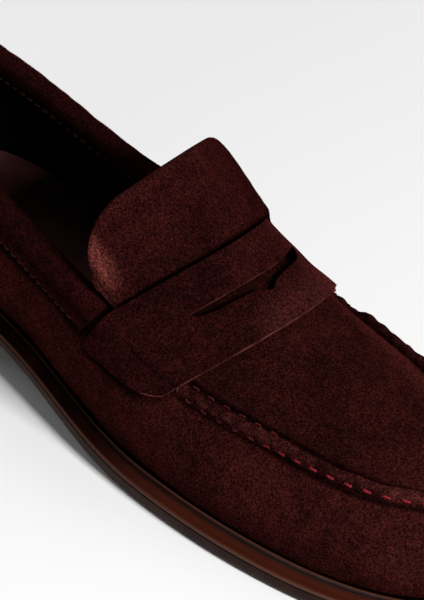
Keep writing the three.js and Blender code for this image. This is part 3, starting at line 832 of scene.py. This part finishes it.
def collar():
    """The padded band. Each row is its distance out, share of the wall's height, lift and painted light and
    wear, which here is painted shade: under the band, in its folds and inside the shoe.
    """
    inside = -5.0
    profile = [
        (0.2, 0.735, 0, -0.7), (0.8, 0.73, 0, -0.4), (1.5, 0.755, 0, 0.0), (1.75, 0.80, 0, -0.25),
        (1.6, 0.845, 0, -0.6), (1.9, 0.88, 0, -0.3), (1.7, 0.94, 0, -0.1), (1.3, 1, -0.6, 0.0),
        (0.7, 1, 0.2, 0.0), (-0.3, 1, 0.7, -0.1), (-1.8, 1, 0.9, -0.2), (-3.4, 1, 0.8, -0.3),
        (inside, 1, 0.2, -0.4), (inside - 0.9, 1, -1.0, -0.5), (inside - 1.2, 0.92, 0, -0.6),
        (inside - 0.9, 0.86, 0, -0.8), (inside - 0.3, 0.835, 0, -0.9), (inside + 0.4, 0.835, 0, -0.9),
        (inside + 0.6, 0.95, 0, 0), (-3, 1, -0.8, 0), (-0.5, 1, -0.8, 0), (0.3, 0.94, 0, 0),
    ]
    grid, painted_light_and_wear = [], []
    count = 520
    middle = -1.6
    for d, t, lift, light_and_wear_tone in profile:
        p, out, up, _ = wall_frame(np.linspace(*collar_ends(t), count), t)
        swell = 0.22 * hills(p, 9, 11) + 0.1 * hills(p, 4, 12)
        grid.append(p + out * (d + swell * np.sign(d - middle))[:, None] + up * lift)
        painted_light_and_wear.append(np.full(count, light_and_wear_tone))
    return rod("upper_collar_binding", np.stack(grid, 1), [DEEP_SUEDE], painted_light_and_wear=np.stack(painted_light_and_wear, 1))


def collar_stitches(name, d, t, out_sign, material):
    """A row of stitches at distance d from the wall; out_sign says which way they arch."""
    inner_end, outer_end = collar_ends(t)
    begin = np.arange(3 - rim_length(-inner_end), rim_length(outer_end) - 5, COLLAR_PITCH)

    def place(along):
        return wall_frame(np.sign(along) * rim_place(np.abs(along)), t)

    start, out, _, _ = place(begin)
    end = place(begin + 2.1)[0]
    return stitches(name, start + out * d, end + out * d, out * out_sign * 0.3, 0.3, material, plies=1)


def heel_patch():
    """The strip of suede over the back seam."""
    t = np.linspace(0.73, 0.03, 60)[:, None]
    half = mix(0.024, 0.018, smooth((t - 0.1) / 0.5))
    s = half * np.linspace(-1, 1, 30)[None, :]
    grid = raised(wall(s, t), 2.0)
    return sheet("upper_heel_patch", raised(grid, 0.08 * hills(grid, 8, 13)), 1.5, [SUEDE, CUT_EDGE])


def strap_surface(u, w):
    """The strap's share of the way forward is u; w is 1 at the rim and 2 at the end of a tab."""
    u, w = np.broadcast_arrays(np.asarray(u, float), np.asarray(w, float))
    down = np.clip(np.abs(w) - 1, 0, 1)
    back = STRAP_SWEEP * np.minimum(w * w, 1) - 1.8 * down * (1 - u)
    x = mix(STRAP_BACK, STRAP_FRONT, u) - back
    front_corner = 1 - np.sqrt(1 - np.clip((u - 0.7) / 0.3, 0, 1) ** 2)
    rear_corner = 1 - np.sqrt(1 - np.clip((0.07 - u) / 0.07, 0, 1) ** 2)
    t = 1 - down * (mix(TAB_REAR, TAB_FRONT, u) - 0.14 * front_corner - 0.04 * rear_corner)
    over = arch(x, np.clip(w, -1, 1))
    beside = wall(section_meets(x, np.where(w < 0, -1, 1), t), t)
    return np.where((down == 0)[..., None], over, beside)


def slot_edges(w):
    """Rear and front edge of the keeper slot, as shares of the strap's width."""
    reach = np.abs(w) * np.where(w < 0, 1.06, 0.96)
    front = np.interp(reach, [0, 0.03, 0.06, 0.1, 0.16, 0.27, 0.5, 0.6, 0.66, 0.69],
                      [0.61, 0.60, 0.575, 0.55, 0.53, 0.515, 0.505, 0.48, 0.445, SLOT_REAR])
    rear = SLOT_REAR - 0.035 * smooth((w - 0.25) / 0.5)
    return rear, np.where(reach < 0.69, np.maximum(front, rear), rear)


def saddle_strap():
    """Two halves, behind and in front of the slot, that join on either side of it."""
    tab = np.linspace(1.0, 2.0, 40)
    over = np.linspace(-1, 1, 221)
    w = np.concatenate([-tab[::-1], over[1:-1], tab])
    rear, front = slot_edges(w)
    steps = np.linspace(0, 1, 24)[:, None]
    grids, painted_light_and_wear = [], []
    for u in (mix(0, rear, steps), mix(front, 1, steps)):
        grid = strap_surface(u, w[None, :])
        over_seam = band(np.abs(w) - 1, 0.05)[None, :] * smooth((u - 0.6) / 0.35)
        beyond = np.clip(np.abs(w) - 1, 0, 1) * mix(TAB_REAR, TAB_FRONT, u)
        sewn = band(beyond - SEWN_LINE, 0.012) * smooth((u - 0.3) / 0.2)
        height = 2.4 + 0.14 * hills(grid, 22, 15) + 0.05 * hills(grid, 7, 16) + 0.8 * over_seam - 0.6 * sewn
        grids.append(raised(grid, height))
        # Painted light: lighter towards the strap's inner side and its front; painted shade towards its outer
        # side and along the sewn groove. The tabs' front lower corners are lighter too.
        highlight_and_wear = 0.1 * smooth((w - 0.3) / 0.5) - 0.12 * smooth((-w - 0.1) / 0.5)
        corner = 0.5 * smooth((u - 0.72) / 0.2) * smooth((np.abs(w) - 1.92) / 0.06)
        painted_light_and_wear.append(highlight_and_wear[None, :] + corner + 0.09 * smooth((u - 0.5) / 0.4) - 0.6 * sewn)
    rows, columns = grids[0].shape[:2]
    faces = grid_faces(rows, columns)
    faces += [tuple(rows * columns + k for k in f) for f in grid_faces(rows, columns)]
    obj = make_object("upper_saddle_strap", np.concatenate(grids), faces, [DEEP_SUEDE, CUT_EDGE, SHADED_CUT_EDGE],
                      np.concatenate(painted_light_and_wear))
    weld(obj)
    thicken(obj, STRAP_THICK)
    # Cut edges that face away from the toe, and so from the key lamp, take the painted-shade copy of the cut
    # edge.
    for face in obj.data.polygons:
        if face.material_index == 1 and face.normal.x < 0.05:
            face.material_index = 2
    return obj


def strap_stitches(side):
    """The row that holds the strap down over the wall, in the groove below the rim."""
    u = np.arange(0.34, 0.93, 0.1)
    across = 1 + SEWN_LINE / mix(TAB_REAR, TAB_FRONT, u)
    start = strap_surface(u, side * across)
    end = strap_surface(u + 0.065, side * across)
    out = wall_frame(section_meets(mix(STRAP_BACK, STRAP_FRONT, u) - STRAP_SWEEP, side), 1 - SEWN_LINE)[1]
    name = f"strap_stitches_{'inner' if side > 0 else 'outer'}"
    return stitches(name, start + out * 1.45, end + out * 1.45, out * 0.25, 0.3, DARK_THREAD, plies=1)


def tongue_surface(q, v, root=STRAP_BACK + 1.5):
    """The tongue from its top edge (q 0) to its root (1), and from its outer edge (v -1) to its inner."""
    q, v = np.broadcast_arrays(np.asarray(q, float), np.asarray(v, float))
    corner = np.where(v < 0, OUTER_CORNER, INNER_CORNER)
    past = np.clip(np.abs(v) * TONGUE_HALF - (TONGUE_HALF - corner), 0, corner)
    rounded = (corner - np.sqrt(corner**2 - past**2)) / TONGUE_LENGTH
    x = mix(TONGUE_TIP - 0.7 - v, root, mix(rounded, 1, q))
    drop = TONGUE_SWING * np.abs(v) ** 2.2
    y = CREST_Y + v * TONGUE_HALF
    return np.stack([x - 0.72 * drop - 2 * q * v * v, y, crest(x) - 0.2 - drop], -1)


def tongue():
    """Its edges roll over, its outer edge takes a painted sheen, and its root sinks under the strap into
    painted shade.
    """
    q = np.linspace(0, 1, 60)[:, None]
    v = np.sin(np.linspace(-1, 1, 120) * math.pi / 2)[None, :]
    grid = tongue_surface(q, v)
    near = distance(grid, np.concatenate([grid[:, 0], grid[0], grid[:, -1]]))
    roll = 2.2
    inside = np.clip(roll - near, 0, roll)
    height = 0.5 - (roll - np.sqrt(roll**2 - inside**2)) * 0.55
    height += 0.16 * hills(grid, 20, 21) + 0.06 * hills(grid, 6, 22)
    height -= 0.25 * band(near - 4.2, 0.6)
    height -= 2.0 * smooth((q - 0.8) / 0.18)
    # Painted sheen in a band along the outer edge and faintly round every edge; painted shade towards the
    # inner edge and at the root under the strap.
    highlight_and_wear = 0.42 * band((1 + v) * TONGUE_HALF - 3.0, 2.4) * smooth((0.8 - q) / 0.5)
    painted_light_and_wear = np.maximum(highlight_and_wear, 0.08 * np.exp(-near / 2.0))
    painted_light_and_wear -= 0.15 * smooth((v - 0.3) / 0.7) + 0.8 * smooth((q - 0.84) / 0.08)
    return sheet("upper_tongue", raised(grid, height), 1.4, [DEEP_SUEDE, DEEP_SUEDE], painted_light_and_wear)


def tongue_lining():
    """The calf under the tongue, a little inside its edges."""
    q = np.linspace(0.03, 1, 40)[:, None]
    v = np.sin(np.linspace(-1, 1, 60) * math.pi / 2)[None, :] * 0.975
    return sheet("tongue_lining_sheet", raised(tongue_surface(q, v), -2.4), LINING_THICK, [LINING, LINING])


# ---- Inside ----
def lining(name, grid):
    return sheet(name, grid, LINING_THICK, [LINING, LINING])


def quarter_lining():
    s = np.linspace(-0.262, 0.262, 300)[None, :]
    t = np.linspace(0.985, 0.01, 40)[:, None]
    grid = raised(wall(s, t), -LINING_DEPTH)
    return lining("quarter_lining_sheet", raised(grid, 0.15 * hills(grid, 16, 31)))


def vamp_lining():
    s = np.linspace(0.264, 0.736, 260)[None, :]
    t = np.linspace(0.9, 0.01, 30)[:, None]
    return lining("vamp_lining_sheet", raised(wall(s, t), -LINING_DEPTH))


def apron_lining():
    x = np.linspace(STRAP_BACK + 2, 256, 60)[:, None]
    v = np.linspace(-0.86, 0.86, 50)[None, :]
    return lining("apron_lining_sheet", raised(arch(x, v), -1.9))


def sock():
    """The leather sock on the footbed, dished a little under the heel."""
    inset, level = 10.9, 0.81
    s = np.linspace(0.002, 0.498, 160)
    outer = sole_point(s, inset, level)
    inner_places = np.interp(outer[:, 0], sole_point(1 - s, inset, level)[:, 0], 1 - s)
    across = np.linspace(0, 1, 40)[None, :, None]
    grid = mix(outer[:, None], sole_point(inner_places, inset, level)[:, None], across)
    edge = np.abs(across[..., 0] * 2 - 1) ** 4
    under_heel = heel_share(grid[..., 0])
    footbed_top = 5.2 + 1.8 * under_heel
    grid[..., 2] += footbed_top + LINING_THICK + 1.2 * edge - 0.9 * under_heel * (1 - edge)
    return sheet("sock_liner_sheet", grid, LINING_THICK, [SOCK, SOCK])


# ---- Build ----
def attach(obj, slot_name, *nodes):
    """Puts a piece on the shoe's body, in place of the CAD nodes that it stands for."""
    if nodes:
        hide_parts(*nodes)
    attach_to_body(obj, "shoe")


def attach_flap(obj, node):
    """Puts a tongue piece in place of its CAD node, with its placement baked into its mesh."""
    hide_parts(node)
    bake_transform(obj)


attach(outsole(), "rubber", "outsole")
attach(welt(), "welt", "welt")
stack, tread = heel()
attach(stack, "rubber", "heel_block")
attach(tread, "rubber", "heel_top_piece")
attach(side_wall(), "suede", "side_wall")
attach(apron(), "suede", "apron")
attach(seam_ridge(), "suede", "seam_ridge")
attach(seam_stitches(-1), "thread", "seam_thread_outer")
attach(seam_stitches(1), "thread", "seam_thread_inner")
attach(saddle_strap(), "suede", "saddle_strap")
attach(strap_stitches(-1), "tonal_thread", "strap_thread_outer")
attach(strap_stitches(1), "tonal_thread", "strap_thread_inner")
attach(collar(), "suede", "collar_binding")
outside_row = collar_stitches("collar_stitches_outside", 1.35, 0.752, 1, COLLAR_THREAD)
inside_row = collar_stitches("collar_stitches_inside", -6.0, 0.87, -1, DARK_THREAD)
attach(outside_row, "tonal_thread", "collar_thread")
attach(inside_row, "tonal_thread")
attach(heel_patch(), "suede", "heel_patch")
attach(quarter_lining(), "lining", "quarter_lining")
attach(vamp_lining(), "lining", "vamp_lining")
attach(apron_lining(), "lining", "apron_lining")
attach(sock(), "lining", "sock_liner")
attach_flap(tongue(), "tongue")
attach_flap(tongue_lining(), "tongue_lining")

HIDDEN = {
    "cork_filler": inner("cork", (120, 84, 52), (178, 134, 92), 1.8),
    "shank": inner("shank_steel", (120, 122, 126), (168, 170, 174), 0.6, 0.35, 1.0),
    "insole_board": inner("fibre_board", (150, 128, 98), (186, 166, 134), 1.0),
    "footbed_foam": inner("foam", (196, 188, 168), (226, 220, 204), 0.8),
    "collar_padding": inner("collar_foam", (60, 54, 52), (82, 76, 72), 0.8),
    "heel_counter": inner("counter_fibre", (112, 96, 78), (150, 132, 110), 0.8),
    "toe_puff": inner("puff_fibre", (112, 96, 78), (150, 132, 110), 0.8),
}
for node, material in HIDDEN.items():
    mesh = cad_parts[node].data
    mesh.materials.clear()
    mesh.materials.append(material)


# ---- Studio ----
def floor():
    """A wide sheet of pale paper."""
    n = Nodes("floor_paper")
    material = n.finish(Base_Color=rgb(238, 238, 238), Roughness=0.9, Specular_IOR_Level=0.1,
                        Normal=n.bump(n.noise(3, 2), 0.02))
    mesh = bpy.data.meshes.new("floor")
    mesh.from_pydata([(-9, -9, 0), (9, -9, 0), (9, 9, 0), (-9, 9, 0)], [], [(0, 1, 2, 3)])
    mesh.materials.append(material)
    obj = bpy.data.objects.new("floor", mesh)
    bpy.context.collection.objects.link(obj)


def softbox(name, place, target, size, watts):
    """An area light, in metres, aimed at a target."""
    light = bpy.data.lights.new(name, "AREA")
    light.shape = "RECTANGLE"
    light.size, light.size_y = size
    light.energy = watts
    obj = bpy.data.objects.new(name, light)
    bpy.context.collection.objects.link(obj)
    place, target = np.array(place, float), np.array(target, float)
    obj.location = place
    obj.rotation_mode = "QUATERNION"
    obj.rotation_quaternion = Vector(target - place).to_track_quat("-Z", "Y")


def studio():
    world = bpy.data.worlds.new("studio")
    world.use_nodes = True
    world.node_tree.nodes["Background"].inputs["Color"].default_value = rgb(240, 240, 240)
    world.node_tree.nodes["Background"].inputs["Strength"].default_value = 0.05
    bpy.context.scene.world = world
    softbox("key", (1.75, -0.17, 1.15), (0.11, 0, 0.03), (0.5, 0.5), 61)
    softbox("top", (0.3, 0.8, 1.7), (0.11, 0, 0.03), (1.0, 1.0), 4)
    softbox("fill", (0.2, -1.6, 0.4), (0.11, 0, 0.03), (0.8, 0.5), 5)
    softbox("rim", (-1.4, -0.25, 0.85), (0.11, 0, 0.06), (0.5, 0.5), 2.5)
    softbox("back", (-1.3, 0.7, 0.7), (0.11, 0, 0.06), (0.6, 0.6), 4)
    bpy.context.scene.view_settings.view_transform = "Standard"


def camera():
    """Over the outer side of the forepart, turned a little on its own axis."""
    azimuth, elevation, roll = (math.radians(a) for a in (39.70, 39.29, 5.38))
    back = np.array([math.sin(azimuth) * math.cos(elevation), -math.cos(azimuth) * math.cos(elevation),
                     math.sin(elevation)])
    right = np.array([math.cos(azimuth), math.sin(azimuth), 0])
    up = np.cross(back, right)
    across = math.cos(roll) * right + math.sin(roll) * up
    above = -math.sin(roll) * right + math.cos(roll) * up
    target = np.array([149.57 - HEEL_CENTRE, -1.9, 50.41]) * 0.001
    distance_back = 1.5882
    data = bpy.data.cameras.new("camera")
    data.sensor_width = 36
    data.lens = 285.1
    data.clip_start, data.clip_end = 0.05, 60
    obj = bpy.data.objects.new("camera", data)
    bpy.context.collection.objects.link(obj)
    place = target + back * distance_back
    obj.matrix_world = Matrix([[*row, place[i]] for i, row in enumerate(np.stack([across, above, back], 1))]
                              + [[0, 0, 0, 1]])
    bpy.context.scene.camera = obj
    focus = bpy.data.objects.new("focus", None)
    focus.location = ((150 - HEEL_CENTRE) * 0.001, -0.036, 0.06)
    bpy.context.collection.objects.link(focus)
    data.dof.use_dof = True
    data.dof.focus_object = focus
    data.dof.aperture_fstop = 45


floor()
studio()
camera()
